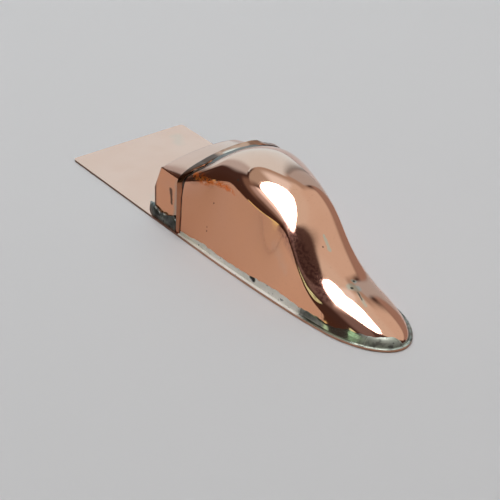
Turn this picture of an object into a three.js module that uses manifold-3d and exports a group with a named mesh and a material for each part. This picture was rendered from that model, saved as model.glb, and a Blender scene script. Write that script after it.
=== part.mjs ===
// A half mould raised in sheet copper. A slipper-shaped hollow body stands on a flat copper plate
// whose square tail sticks out behind it. A short arched neck leads into the body from the rear, a
// proud collar band covers the joint between the two, and every joint is run with soft solder.
// Units are millimetres. X runs from the tail's end towards the toe, Y from the straight side
// across to the round side, and Z up from the surface that the plate lies on.
import * as THREE from "three";
import { mergeVertices } from "three/addons/utils/BufferGeometryUtils.js";
import Module from "manifold-3d";

// Sheet and fitting sizes
const PLATE_THICKNESS = 0.6;
const SHEET_THICKNESS = 0.6;
const FLANGE = 0.8; // plate left showing beyond the foot of the body
const SLIP_GAP = 0.2; // between the neck and the mouth that it slips into
const SOLDER_GAP = 0.1; // between a solder run and the sheet that it lies against

// Lengths along X
const TAIL_LENGTH = 37.7; // from the tail's end to the neck's rear edge at its foot
const NECK_LENGTH = 11.8; // at its foot, behind the body's mouth
const NECK_TUCK = 3.0; // hidden inside the body's mouth
const BODY_LENGTH = 70.2; // from the body's mouth to the nose
const TOE_CAP_LENGTH = 15.4; // round end of the body, from the last full section to the nose

const CAP_START = BODY_LENGTH - TOE_CAP_LENGTH;

// The body's sections, each at a distance from the mouth. The setback is how far its straight side
// has drawn in from the plate's straight edge, heights are above the plate, and the leans are the
// degrees that its straight side and its round side tip inwards. The lead is how far the straight
// side runs on into the crown: below 1 it turns in sooner.
const MOUTH = {
  at: 0,
  setback: 0,
  width: 33,
  wall: 13.3,
  farWall: 12,
  crest: 18,
  lean: 3.5,
  farLean: 6.1,
  lead: 0.76,
};
const SHOULDER = {
  at: 0.128 * CAP_START,
  setback: 0,
  width: 33.8,
  wall: 15.7,
  farWall: 8.5,
  crest: 20.9,
  lean: 16.5,
  farLean: 5.3,
  lead: 0.87,
};
const SUMMIT = {
  at: 0.328 * CAP_START,
  setback: 0.08,
  width: 30.5,
  wall: 17.5,
  farWall: 13,
  crest: 22.3,
  lean: 16.1,
  farLean: 9.8,
  lead: 0.88,
};
const BROW = {
  at: 0.493 * CAP_START,
  setback: 0.31,
  width: 27,
  wall: 16,
  farWall: 16.5,
  crest: 20.5,
  lean: 18,
  farLean: 12.9,
  lead: 0.93,
};
const INSTEP = {
  at: 0.639 * CAP_START,
  setback: 0.62,
  width: 23.1,
  wall: 14.6,
  farWall: 14.9,
  crest: 16.8,
  lean: 20.5,
  farLean: 9.3,
  lead: 1,
};
const WAIST = {
  at: 0.766 * CAP_START,
  setback: 1,
  width: 19.6,
  wall: 10.2,
  farWall: 10.2,
  crest: 12,
  lean: 16,
  farLean: 5.1,
  lead: 1.04,
};
const VAMP = {
  at: 0.894 * CAP_START,
  setback: 1.53,
  width: 18.8,
  wall: 4.7,
  farWall: 5.1,
  crest: 8.1,
  lean: 15,
  farLean: 9.4,
  lead: 1.04,
};
const TOE = {
  at: CAP_START,
  setback: 2.17,
  width: 18.2,
  wall: 2.4,
  farWall: 2.6,
  crest: 6.3,
  lean: 22.8,
  farLean: 16.4,
  lead: 1.06,
};
const NOSE = {
  at: BODY_LENGTH,
  setback: 3.54,
  width: 16.2,
  wall: 0.4,
  farWall: 1,
  crest: 2.9,
  lean: 26.2,
  farLean: 20.1,
  lead: 1.01,
};
const STATIONS = [MOUTH, SHOULDER, SUMMIT, BROW, INSTEP, WAIST, VAMP, TOE, NOSE];

// The neck's section at its rear edge. Its straight side meets the nearly flat crown in a tight
// corner, which opens out towards the body's mouth. Each rise and run is how far the crown carries
// on up and inwards from the top of a wall.
const NECK_REAR = {
  wall: 14.2,
  farWall: 11,
  lean: 2,
  farLean: 10,
  nearRise: 1.3,
  nearRun: 7,
  farRise: 7,
  farRun: 1.2,
};
const NECK_FAR_SETBACK = 4.2; // how far its round side has drawn in at the rear edge
const NECK_UPRIGHT = 7.4; // its rear edge stands upright to this height above the plate
const NECK_RAKE = 24.6; // degrees that the rear edge leans towards the body above that

// Collar band
const COLLAR_WIDTH = 2.2;
const COLLAR_THICKNESS = 0.9; // at the middle of its rounded back
const COLLAR_EDGE = 0.45; // thickness at its two edges
const COLLAR_OVERHANG = 0.6; // part of its width that lies behind the mouth

// Solder runs
const FOOT_SOLDER_REAR_HEIGHT = 0.9;
const FOOT_SOLDER_WAIST_HEIGHT = 2.3;
const FOOT_SOLDER_TOE_HEIGHT = 1.2;
const FOOT_SOLDER_WAIST_ALONG = 0.56; // where it climbs highest, as a part of the body's length
const FOOT_SOLDER_FILLET = 0.6; // height of the thicker corner of the run on the plate
const FILLET_TUCK = 0.15; // how far the fillet's top runs in under the skin
const FILLET_SHARE = 0.33; // most of the body's own width that the fillet's slope takes at the nose
const FOOT_SOLDER_SKIN = 0.15; // thickness of the run where it lies on the wall
const CLIMB_SHARE = 0.85; // most of the body's own height that the run reaches at the nose
const COLLAR_SOLDER_LENGTH = 1.4;
const NECK_SOLDER_LENGTH = 1.2;
const SOLDER_FEATHER = 0.12; // thickness where a collar run thins out
const BEAD_WIDTH = 1.2; // solder bead along each foot of the neck
const BEAD_HEIGHT = 1.5;
const BEAD_OVERRUN = 3.6; // how far a bead runs onto the tail behind the neck
const BEAD_TIP_SHARE = 0.25; // part of its full size that a bead keeps at its rear tip

// Plate
const TAIL_CORNER_RADIUS = 1.2;

// Facets
const CROWN_STEPS = 26;
const BODY_STEPS = 38;
const CAP_STEPS = 10;
const CAP_STOP = 0.35; // how much of a step the last ring stays short of the nose
const BEAD_STEPS = 5;
const TUCK_STEPS = 4;
const CLIMB_STEPS = 4;
const WRAP_STEPS = 6;

// Places that follow from the sizes
const MOUTH_X = TAIL_LENGTH + NECK_LENGTH;
const NOSE_X = MOUTH_X + BODY_LENGTH;
const COLLAR_REAR_X = MOUTH_X - COLLAR_OVERHANG;
const COLLAR_FRONT_X = COLLAR_REAR_X + COLLAR_WIDTH;
const CUT = 1.0; // how far a cutting solid runs past what it cuts

const wasm = await Module();
wasm.setup();

// Natural cubic spline through the stations, straight beyond either end.
function smoothThrough(key) {
  const xs = STATIONS.map((station) => station.at);
  const ys = STATIONS.map((station) => station[key]);
  const last = xs.length - 1;
  const bend = new Array(last + 1).fill(0);
  const carry = new Array(last + 1).fill(0);
  for (let i = 1; i < last; i++) {
    const before = xs[i] - xs[i - 1];
    const after = xs[i + 1] - xs[i];
    const pivot = 2 * (before + after) - before * carry[i - 1];
    const turn = (ys[i + 1] - ys[i]) / after - (ys[i] - ys[i - 1]) / before;
    carry[i] = after / pivot;
    bend[i] = (6 * turn - before * bend[i - 1]) / pivot;
  }
  for (let i = last - 1; i > 0; i--) bend[i] -= carry[i] * bend[i + 1];
  return (x) => {
    let i = 0;
    while (i < last - 1 && x > xs[i + 1]) i++;
    const step = xs[i + 1] - xs[i];
    const chord = (ys[i + 1] - ys[i]) / step;
    if (x < xs[0]) return ys[0] + (x - xs[0]) * (chord - (step * bend[1]) / 6);
    if (x > xs[last]) return ys[last] + (x - xs[last]) * (chord + (step * bend[last - 1]) / 6);
    const b = (x - xs[i]) / step;
    const a = 1 - b;
    const sag = ((a ** 3 - a) * bend[i] + (b ** 3 - b) * bend[i + 1]) * (step ** 2 / 6);
    return a * ys[i] + b * ys[i + 1] + sag;
  };
}
const setbackAt = smoothThrough("setback");
const widthAt = smoothThrough("width");
const wallAt = smoothThrough("wall");
const farWallAt = smoothThrough("farWall");
const crestAt = smoothThrough("crest");
const leanAt = smoothThrough("lean");
const farLeanAt = smoothThrough("farLean");
const leadAt = smoothThrough("lead");

// How much of its full size a section keeps inside the round toe cap.
function capShare(at, inset) {
  const reach = (at - CAP_START) / (TOE_CAP_LENGTH - inset);
  return at <= CAP_START ? 1 : Math.sqrt(Math.max(0, 1 - reach ** 2));
}

function slope(degrees) {
  return Math.tan(THREE.MathUtils.degToRad(degrees));
}

// A cubic curve rises by this part of its handles' mean height at its middle.
const BEZIER_MIDDLE = 0.75;

// The body's outline at a distance from the mouth, moved in (or, when negative, out) by an inset.
function bodySpan(at, inset) {
  const share = capShare(at, inset);
  const near = FLANGE + setbackAt(at) + inset;
  const far = FLANGE + setbackAt(at) + widthAt(at) - inset;
  const middle = (near + far) / 2;
  const half = ((far - near) / 2) * share;
  const wall = wallAt(at) * share;
  const farWall = farWallAt(at) * share;
  const crest = (crestAt(at) - inset) * share;
  const rise = (crest - (wall + farWall) / 2) / BEZIER_MIDDLE;
  const nearRise = rise * leadAt(at);
  const farRise = rise * (2 - leadAt(at));
  return {
    near: middle - half,
    far: middle + half,
    wall,
    farWall,
    crest,
    lean: leanAt(at),
    farLean: farLeanAt(at),
    nearRise,
    nearRun: nearRise * slope(leanAt(at)),
    farRise,
    farRun: farRise * slope(farLeanAt(at)),
  };
}

// One arched section as [y, z] points: up the straight side, over the crown and down the round side.
function archPoints(span, skirt = 0) {
  const { near, far, wall, farWall } = span;
  const start = new THREE.Vector2(near + wall * slope(span.lean), wall);
  const end = new THREE.Vector2(far - farWall * slope(span.farLean), farWall);
  const crown = new THREE.CubicBezierCurve(
    start,
    new THREE.Vector2(start.x + span.nearRun, start.y + span.nearRise),
    new THREE.Vector2(end.x - span.farRun, end.y + span.farRise),
    end,
  );
  const points = [[near, -skirt]];
  if (skirt > 0) points.push([near, 0]);
  for (const p of crown.getPoints(CROWN_STEPS)) points.push([p.x, p.y]);
  if (skirt > 0) points.push([far, 0]);
  points.push([far, -skirt]);
  return points;
}

// A closed solid lofted through rings of [x, points], capped flat at both ends.
function loft(rings) {
  const count = rings[0].points.length;
  const vertices = [];
  const faces = [];
  for (const { x, points } of rings)
    for (const [y, z] of points) vertices.push(x, y, z + PLATE_THICKNESS);
  const at = (ring, i) => ring * count + (i % count);
  for (let ring = 0; ring + 1 < rings.length; ring++)
    for (let i = 0; i < count; i++) {
      faces.push(at(ring, i), at(ring + 1, i + 1), at(ring, i + 1));
      faces.push(at(ring, i), at(ring + 1, i), at(ring + 1, i + 1));
    }
  for (let i = 1; i + 1 < count; i++) {
    faces.push(at(0, 0), at(0, i), at(0, i + 1));
    faces.push(at(rings.length - 1, 0), at(rings.length - 1, i + 1), at(rings.length - 1, i));
  }
  return solid(vertices, faces);
}

function solid(vertices, faces) {
  const geometry = new THREE.BufferGeometry();
  geometry.setAttribute("position", new THREE.Float32BufferAttribute(vertices, 3));
  geometry.setIndex(faces);
  return solidOf(geometry);
}

function solidOf(geometry) {
  const bare = geometry.index ? geometry.toNonIndexed() : geometry.clone();
  bare.deleteAttribute("normal");
  bare.deleteAttribute("uv");
  const merged = mergeVertices(bare, 1e-4);
  return new wasm.Manifold(
    new wasm.Mesh({
      numProp: 3,
      vertProperties: merged.attributes.position.array,
      triVerts: new Uint32Array(merged.index.array),
    }),
  );
}

// Distances from the mouth at which the body is sectioned, close together in the round cap.
function bodyPlaces(from, inset) {
  const places = [];
  for (let i = 0; i <= BODY_STEPS; i++) places.push(from + ((CAP_START - from) * i) / BODY_STEPS);
  for (let i = 1; i <= CAP_STEPS; i++) {
    const turn = (i / (CAP_STEPS + CAP_STOP)) * (Math.PI / 2);
    places.push(CAP_START + (TOE_CAP_LENGTH - inset) * Math.sin(turn));
  }
  return places;
}

// The body as a full solid, moved in by an inset; a skirt carries it below its foot for cutting.
function bodySolid(from, inset, skirt = 0) {
  return loft(
    bodyPlaces(from, inset).map((at) => ({
      x: MOUTH_X + at,
      points: archPoints(bodySpan(at, inset), skirt),
    })),
  );
}

// A length of the body's own form, for what wraps it near the mouth. Its thickness over the body
// is given for each part of its width, from 0 at its rear edge to 1 at its front edge.
function wrapSolid(fromX, toX, thicknessAt, skirt = 0) {
  const rings = [];
  for (let i = 0; i <= WRAP_STEPS; i++) {
    const x = THREE.MathUtils.lerp(fromX, toX, i / WRAP_STEPS);
    const inset = -(SOLDER_GAP + thicknessAt(i / WRAP_STEPS));
    rings.push({ x, points: archPoints(bodySpan(x - MOUTH_X, inset), skirt) });
  }
  return loft(rings);
}

// The neck follows the inside of the body where it is tucked in, and changes to its rear section.
function neckSpan(x, inset) {
  const slip = SHEET_THICKNESS + SLIP_GAP;
  const mouth = bodySpan(Math.max(0, x - MOUTH_X), slip);
  const taper = THREE.MathUtils.clamp((MOUTH_X - x) / NECK_LENGTH, 0, 1);
  const span = {};
  for (const key of Object.keys(NECK_REAR))
    span[key] = THREE.MathUtils.lerp(mouth[key], NECK_REAR[key], taper);
  span.near = mouth.near + inset;
  span.far = mouth.far - NECK_FAR_SETBACK * taper - inset;
  span.wall -= inset;
  span.farWall -= inset;
  return span;
}

function neckSolid(fromX, toX, insetFrom, insetTo, skirt = 0) {
  const inside = [];
  for (let i = 0; i < TUCK_STEPS; i++) inside.push(MOUTH_X + (NECK_TUCK * i) / TUCK_STEPS);
  const stops = [fromX, ...inside.filter((x) => x > fromX && x < toX), toX];
  return loft(
    stops.map((x) => {
      const share = (x - fromX) / (toX - fromX);
      const inset = THREE.MathUtils.lerp(insetFrom, insetTo, share);
      return { x, points: archPoints(neckSpan(x, inset), skirt) };
    }),
  );
}

// Flat plate: square tail, one straight side, and the body's outline round to the nose. It keeps
// its full width from the tail's end to the body's widest section.
function makePlate() {
  const outline = new THREE.Shape();
  const corner = TAIL_CORNER_RADIUS;
  outline.moveTo(0, corner);
  outline.quadraticCurveTo(0, 0, corner, 0);
  const sections = bodyPlaces(0, -FLANGE).map((at) => ({ x: MOUTH_X + at, ...bodySpan(at, -FLANGE) }));
  const width = Math.max(...sections.map(({ far }) => far));
  const widest = sections.findIndex(({ far }) => far === width);
  for (const { x, near } of sections) outline.lineTo(x, near);
  const nose = bodySpan(BODY_LENGTH, 0);
  outline.lineTo(NOSE_X + FLANGE, (nose.near + nose.far) / 2);
  for (const { x, far } of sections.slice(widest).reverse()) outline.lineTo(x, far);
  outline.lineTo(corner, width);
  outline.quadraticCurveTo(0, width, 0, width - corner);
  outline.closePath();
  return solidOf(
    new THREE.ExtrudeGeometry(outline, {
      depth: PLATE_THICKNESS,
      bevelEnabled: false,
      curveSegments: 5,
    }),
  );
}

const bodyOuter = bodySolid(0, 0);

function makeBody() {
  return bodyOuter.subtract(bodySolid(-CUT, SHEET_THICKNESS, CUT));
}

function makeNeck() {
  const frontX = MOUTH_X + NECK_TUCK;
  const outer = neckSolid(TAIL_LENGTH, frontX, 0, 0);
  const bore = neckSolid(TAIL_LENGTH - CUT, frontX + CUT, SHEET_THICKNESS, SHEET_THICKNESS, CUT);
  return outer.subtract(bore).subtract(rakeCutter());
}

// What the raked rear edge of the neck leaves out, as a wedge right across the plate.
function rakeCutter() {
  const lean = slope(NECK_RAKE);
  const foot = PLATE_THICKNESS + NECK_UPRIGHT;
  const top = foot + MOUTH.crest;
  const wedge = new THREE.Shape();
  wedge.moveTo(TAIL_LENGTH - CUT, foot - CUT / lean);
  wedge.lineTo(TAIL_LENGTH + (top - foot) * lean, top);
  wedge.lineTo(TAIL_LENGTH - CUT, top);
  wedge.closePath();
  const across = FLANGE + MOUTH.width + CUT;
  const cutter = new THREE.ExtrudeGeometry(wedge, { depth: across + CUT, bevelEnabled: false });
  cutter.rotateX(Math.PI / 2);
  cutter.translate(0, across, 0);
  return solidOf(cutter);
}

function makeCollar() {
  const rounded = (share) =>
    COLLAR_EDGE + (COLLAR_THICKNESS - COLLAR_EDGE) * Math.sqrt(1 - (2 * share - 1) ** 2);
  const outer = wrapSolid(COLLAR_REAR_X, COLLAR_FRONT_X, rounded);
  return outer.subtract(wrapSolid(COLLAR_REAR_X - CUT, COLLAR_FRONT_X + CUT, () => 0, CUT));
}

// Solder in the corner between the collar's front face and the body.
function makeCollarFrontSolder() {
  const fromX = COLLAR_FRONT_X;
  const toX = fromX + COLLAR_SOLDER_LENGTH;
  const hollowed = (share) => SOLDER_FEATHER + (COLLAR_EDGE - SOLDER_FEATHER) * (1 - share) ** 2;
  const outer = wrapSolid(fromX, toX, hollowed);
  return outer.subtract(wrapSolid(fromX - CUT, toX + CUT, () => 0, CUT));
}

// Solder in the corner between the collar's rear face and the neck.
function makeCollarRearSolder() {
  const toX = COLLAR_REAR_X;
  const fromX = toX - NECK_SOLDER_LENGTH;
  const thick = SOLDER_GAP + SHEET_THICKNESS;
  const outer = neckSolid(fromX, toX, -(SOLDER_GAP + SOLDER_FEATHER), -thick);
  const bore = neckSolid(fromX - CUT, toX + CUT, -SOLDER_GAP, -SOLDER_GAP, CUT);
  return outer.subtract(bore);
}

// How far up the wall the foot solder climbs: up to the waist, and lower again round the toe.
function footSolderHeight(at) {
  const waist = FOOT_SOLDER_WAIST_ALONG * BODY_LENGTH;
  return at < waist
    ? THREE.MathUtils.mapLinear(at, 0, waist, FOOT_SOLDER_REAR_HEIGHT, FOOT_SOLDER_WAIST_HEIGHT)
    : THREE.MathUtils.mapLinear(at, waist, BODY_LENGTH, FOOT_SOLDER_WAIST_HEIGHT, FOOT_SOLDER_TOE_HEIGHT);
}

// Solder along the foot of the body, from the collar round the toe and back: a thicker fillet in
// the corner on the plate, and a thin skin that climbs the wall.
function makeFootSolder() {
  const from = COLLAR_FRONT_X + COLLAR_SOLDER_LENGTH + SOLDER_GAP - MOUTH_X;
  const spread = FLANGE - SOLDER_GAP;
  const skin = SOLDER_GAP + FOOT_SOLDER_SKIN;
  const fillet = bodyPlaces(from, -spread).map((at) => {
    const height = FOOT_SOLDER_FILLET * capShare(at, -spread);
    const { near, far } = bodySpan(at, -spread);
    const reach = Math.min(spread + FILLET_TUCK, (far - near) * FILLET_SHARE);
    return { x: MOUTH_X + at, points: [[near, 0], [near + reach, height], [far - reach, height], [far, 0]] };
  });
  const climb = bodyPlaces(from, -skin).map((at) => {
    const section = bodySpan(at, -skin);
    const outline = archPoints(section);
    const height = Math.min(footSolderHeight(at), section.crest * CLIMB_SHARE);
    const rising = [];
    const falling = [];
    for (let i = 0; i <= CLIMB_STEPS; i++) {
      const level = (height * i) / CLIMB_STEPS;
      const [near, far] = sidesAt(outline, level);
      rising.push([near, level]);
      falling.unshift([far, level]);
    }
    return { x: MOUTH_X + at, points: [...rising, ...falling] };
  });
  const run = loft(fillet).add(loft(climb));
  return run.subtract(bodySolid(from - CUT, -SOLDER_GAP, CUT));
}

// How far across an arched section's two sides stand at a height below its crest.
function sidesAt(points, height) {
  const crossing = (low, high) => {
    const share = (height - low[1]) / (high[1] - low[1]);
    return THREE.MathUtils.lerp(low[0], high[0], share);
  };
  const first = points.findIndex(([, z]) => z > height);
  const last = points.findLastIndex(([, z]) => z > height);
  return [crossing(points[first - 1], points[first]), crossing(points[last + 1], points[last])];
}

// A round-backed solder bead along one foot of the neck, running out onto the tail.
function makeNeckFootSolder(side) {
  const toX = COLLAR_REAR_X - NECK_SOLDER_LENGTH - SOLDER_GAP;
  const bead = (x, size) => {
    const span = neckSpan(x, -SOLDER_GAP);
    const foot = side > 0 ? span.near : span.far;
    const tilt = slope(side > 0 ? span.lean : span.farLean);
    const points = [[foot, 0]];
    for (let i = 0; i <= BEAD_STEPS; i++) {
      const turn = (i / BEAD_STEPS) * (Math.PI / 2);
      const height = BEAD_HEIGHT * size * Math.cos(turn);
      const reach = BEAD_WIDTH * size * Math.sin(turn);
      points.push([foot + side * (height * tilt - reach), height]);
    }
    return { x, points: side > 0 ? points.reverse() : points };
  };
  return loft([
    bead(TAIL_LENGTH - BEAD_OVERRUN, BEAD_TIP_SHARE),
    bead(TAIL_LENGTH - BEAD_OVERRUN / 2, 1 - BEAD_TIP_SHARE),
    bead(TAIL_LENGTH, 1),
    bead(toX, 1),
  ]);
}

// Materials
function metal(color, roughness) {
  return new THREE.MeshStandardMaterial({ color, roughness, metalness: 1 });
}
const polishedCopper = metal(0xc98a6b, 0.14);
const plateCopper = metal(0xd2a48c, 0.22);
const greySolder = metal(0x8f948c, 0.4);
const darkSolder = metal(0x4c4f4b, 0.45);

const mould = new THREE.Group();

function addPart(name, manifold, material) {
  const { vertProperties, triVerts } = manifold.getMesh();
  const geometry = new THREE.BufferGeometry();
  geometry.setAttribute("position", new THREE.BufferAttribute(vertProperties, 3));
  geometry.setIndex(new THREE.BufferAttribute(triVerts, 1));
  geometry.computeVertexNormals();
  const mesh = new THREE.Mesh(geometry, material);
  mesh.name = name;
  mould.add(mesh);
}

addPart("base_plate", makePlate(), plateCopper);
addPart("body_shell", makeBody(), polishedCopper);
addPart("neck_sleeve", makeNeck(), polishedCopper);
addPart("collar_band", makeCollar(), polishedCopper);
addPart("body_foot_solder", makeFootSolder(), greySolder);
addPart("collar_front_solder", makeCollarFrontSolder(), greySolder);
addPart("collar_rear_solder", makeCollarRearSolder(), greySolder);
addPart("neck_near_solder", makeNeckFootSolder(1), darkSolder);
addPart("neck_far_solder", makeNeckFootSolder(-1), darkSolder);

// The origin is the middle of the rectangle that the mould covers, on the surface that it lies on.
const cover = new THREE.Box3().setFromObject(mould);
mould.position.set(-(cover.min.x + cover.max.x) / 2, -(cover.min.y + cover.max.y) / 2, -cover.min.z);

export default mould;
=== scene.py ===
import math

import bpy
import numpy as np
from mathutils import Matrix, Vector


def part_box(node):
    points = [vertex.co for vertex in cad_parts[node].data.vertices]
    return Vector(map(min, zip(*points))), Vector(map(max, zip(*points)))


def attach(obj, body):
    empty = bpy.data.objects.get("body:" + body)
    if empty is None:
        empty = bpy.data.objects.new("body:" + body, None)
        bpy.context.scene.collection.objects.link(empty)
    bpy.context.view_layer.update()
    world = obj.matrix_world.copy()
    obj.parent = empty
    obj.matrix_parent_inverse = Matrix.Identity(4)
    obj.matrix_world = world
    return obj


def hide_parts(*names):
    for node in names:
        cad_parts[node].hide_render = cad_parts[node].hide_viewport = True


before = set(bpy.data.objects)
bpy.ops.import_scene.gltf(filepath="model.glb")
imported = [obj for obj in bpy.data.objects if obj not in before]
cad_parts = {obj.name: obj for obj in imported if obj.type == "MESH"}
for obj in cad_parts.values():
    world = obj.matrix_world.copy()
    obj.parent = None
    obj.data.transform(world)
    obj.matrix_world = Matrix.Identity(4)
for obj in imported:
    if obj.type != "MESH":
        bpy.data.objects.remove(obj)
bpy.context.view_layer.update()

MM = 0.001
RANDOM_SEED = 7

# Sizes, as in the construction
PLATE_THICKNESS = 0.6
SHEET_THICKNESS = 0.6
FLANGE = 0.8
SLIP_GAP = 0.2
TAIL_LENGTH = 37.7
NECK_LENGTH = 11.8
NECK_TUCK = 1.6  # shorter than in the construction, to stay under the drawn-down crown
BODY_LENGTH = 70.2
TOE_CAP_LENGTH = 15.4
MOUTH_X = TAIL_LENGTH + NECK_LENGTH
CAP_START = BODY_LENGTH - TOE_CAP_LENGTH

# The body's sections: distance from the mouth, setback of the straight side, width, height of the
# straight wall and of the round side's wall, crest, lean of each wall in degrees, and the lead.
STATION_KEYS = ("at", "setback", "width", "wall", "far_wall", "crest", "lean", "far_lean", "lead")
STATIONS = [
    dict(zip(STATION_KEYS, row))
    for row in (
        (0, 0, 33, 13.3, 12, 18, 3.5, 6.1, 0.76),
        (0.128 * CAP_START, 0, 33.8, 15.7, 8.5, 20.9, 16.5, 5.3, 0.87),
        (0.328 * CAP_START, 0.08, 30.5, 17.5, 13, 22.3, 16.1, 9.8, 0.88),
        (0.493 * CAP_START, 0.31, 27, 16, 16.5, 20.5, 18, 12.9, 0.93),
        (0.639 * CAP_START, 0.62, 23.1, 14.6, 14.9, 16.8, 20.5, 9.3, 1),
        (0.766 * CAP_START, 1, 19.6, 10.2, 10.2, 12, 16, 5.1, 1.04),
        (0.894 * CAP_START, 1.53, 18.8, 4.7, 5.1, 8.1, 15, 9.4, 1.04),
        (CAP_START, 2.17, 18.2, 2.4, 2.6, 6.3, 22.8, 16.4, 1.06),
        (BODY_LENGTH, 3.54, 16.2, 0.4, 1, 2.9, 26.2, 20.1, 1.01),
    )
]
BEZIER_MIDDLE = 0.75  # a crown rises by this part of its handles' mean height

# The neck's rear section
NECK_REAR = {
    "wall": 14.2,
    "far_wall": 11,
    "lean": 2,
    "far_lean": 10,
    "near_rise": 1.3,
    "near_run": 7,
    "far_rise": 7,
    "far_run": 1.2,
}
NECK_FAR_SETBACK = 4.2
NECK_UPRIGHT = 7.4
NECK_RAKE = 24.6

COLLAR_OVERHANG = 0.6
COLLAR_REAR_X = MOUTH_X - COLLAR_OVERHANG

# The plate's lowest corner in the frame, from which the lengths above are measured
ORIGIN = np.array(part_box("base_plate")[0])

# Mesh density
BODY_RINGS = 200
CAP_RINGS = 50
CAP_STOP = 0.04  # how much of a ring the last one stays short of the nose
NECK_RINGS = 50
ARCH_POINTS = 210
BAND_POINTS = 240
BAND_ROWS = 17
BLOB_RINGS = 70
BLOB_POINTS = 25
FINE = 160  # points on a crown's curve before it is spaced evenly
SIDE = 40  # points on each straight side before it is spaced evenly
STOPS = 60  # sections that a wrapped piece is looked up in


def smooth(value, low, high):
    """From 0 at low to 1 at high, with soft ends."""
    share = np.clip((np.asarray(value, float) - low) / (high - low), 0, 1)
    return share * share * (3 - 2 * share)


WAVE_SPREAD = (0.5, 1.7)  # shortest and longest of a wavy line's waves, as parts of its wave


def wander(place, seed, wave, waves=6):
    """A seeded wavy line about zero, of about unit height, along a place in millimetres."""
    random = np.random.default_rng(seed)
    out = np.zeros_like(np.asarray(place, float))
    for _ in range(waves):
        length = wave * random.uniform(*WAVE_SPREAD)
        out += np.sin(place * 2 * math.pi / length + random.uniform(0, 2 * math.pi))
    return out / math.sqrt(waves)


def spline(key):
    """Natural cubic spline through the stations, straight beyond either end."""
    xs = np.array([s["at"] for s in STATIONS], float)
    ys = np.array([s[key] for s in STATIONS], float)
    n = len(xs)
    step = np.diff(xs)
    a = np.zeros((n, n))
    b = np.zeros(n)
    a[0, 0] = a[-1, -1] = 1
    for i in range(1, n - 1):
        a[i, i - 1 : i + 2] = step[i - 1], 2 * (step[i - 1] + step[i]), step[i]
        b[i] = 6 * ((ys[i + 1] - ys[i]) / step[i] - (ys[i] - ys[i - 1]) / step[i - 1])
    bend = np.linalg.solve(a, b)
    low = (ys[1] - ys[0]) / step[0] - step[0] * bend[1] / 6
    high = (ys[-1] - ys[-2]) / step[-1] + step[-1] * bend[-2] / 6

    def value(at):
        at = np.asarray(at, float)
        inner = np.clip(at, xs[0], xs[-1])
        i = np.clip(np.searchsorted(xs, inner, side="right") - 1, 0, n - 2)
        h = step[i]
        q = (inner - xs[i]) / h
        p = 1 - q
        sag = ((p**3 - p) * bend[i] + (q**3 - q) * bend[i + 1]) * h**2 / 6
        beyond = np.where(at < xs[0], (at - xs[0]) * low, np.where(at > xs[-1], (at - xs[-1]) * high, 0))
        return p * ys[i] + q * ys[i + 1] + sag + beyond

    return value


SPLINES = {key: spline(key) for key in STATION_KEYS if key != "at"}


def body_span(x, inset=0.0):
    """The body's outline at places along X, moved in by an inset."""
    at = np.asarray(x, float) - MOUTH_X
    value = {key: line(at) for key, line in SPLINES.items()}
    reach = (at - CAP_START) / (TOE_CAP_LENGTH - inset)
    share = np.where(at <= CAP_START, 1.0, np.sqrt(np.clip(1 - np.clip(reach, 0, 1) ** 2, 0, 1)))
    near = FLANGE + value["setback"] + inset
    far = FLANGE + value["setback"] + value["width"] - inset
    wall = value["wall"] * share
    far_wall = value["far_wall"] * share
    rise = ((value["crest"] - inset) * share - (wall + far_wall) / 2) / BEZIER_MIDDLE
    near_rise = rise * value["lead"]
    far_rise = rise * (2 - value["lead"])
    return {
        "near": (near + far) / 2 - (far - near) / 2 * share,
        "far": (near + far) / 2 + (far - near) / 2 * share,
        "wall": wall,
        "far_wall": far_wall,
        "lean": value["lean"],
        "far_lean": value["far_lean"],
        "near_rise": near_rise,
        "near_run": near_rise * np.tan(np.radians(value["lean"])),
        "far_rise": far_rise,
        "far_run": far_rise * np.tan(np.radians(value["far_lean"])),
    }


def neck_span(x, inset=0.0):
    """The neck's outline: inside the body where it is tucked in, changing to its rear section."""
    x = np.asarray(x, float)
    mouth = body_span(np.maximum(MOUTH_X, x), SHEET_THICKNESS + SLIP_GAP)
    taper = np.clip((MOUTH_X - x) / NECK_LENGTH, 0, 1)
    span = {key: mouth[key] + (rear - mouth[key]) * taper for key, rear in NECK_REAR.items()}
    span["near"] = mouth["near"] + inset
    span["far"] = mouth["far"] - NECK_FAR_SETBACK * taper - inset
    span["wall"] = span["wall"] - inset
    span["far_wall"] = span["far_wall"] - inset
    return span


def arches(span, shares):
    """Arched sections as an array [ring, point, (y, z)], at shares of each section's length."""
    near, far = span["near"], span["far"]
    wall, far_wall = span["wall"], span["far_wall"]
    start = np.stack([near + wall * np.tan(np.radians(span["lean"])), wall], -1)[:, None]
    end = np.stack([far - far_wall * np.tan(np.radians(span["far_lean"])), far_wall], -1)[:, None]
    first = start + np.stack([span["near_run"], span["near_rise"]], -1)[:, None]
    last = end + np.stack([-span["far_run"], span["far_rise"]], -1)[:, None]
    t = np.linspace(0, 1, FINE)[None, :, None]
    crown = (1 - t) ** 3 * start + 3 * (1 - t) ** 2 * t * first + 3 * (1 - t) * t**2 * last + t**3 * end
    foot = np.stack([near, np.zeros_like(near)], -1)[:, None]
    far_foot = np.stack([far, np.zeros_like(far)], -1)[:, None]
    rising = np.linspace(0, 1, SIDE, endpoint=False)[None, :, None]
    falling = np.linspace(0, 1, SIDE + 1)[None, 1:, None]
    line = np.concatenate([foot + (start - foot) * rising, crown, end + (far_foot - end) * falling], 1)
    out = np.empty((line.shape[0], len(shares), 2))
    for i, ring in enumerate(line):
        run = np.concatenate([[0], np.cumsum(np.hypot(*np.diff(ring, axis=0).T))])
        run /= run[-1]
        out[i, :, 0] = np.interp(shares, run, ring[:, 0])
        out[i, :, 1] = np.interp(shares, run, ring[:, 1])
    return out


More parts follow.
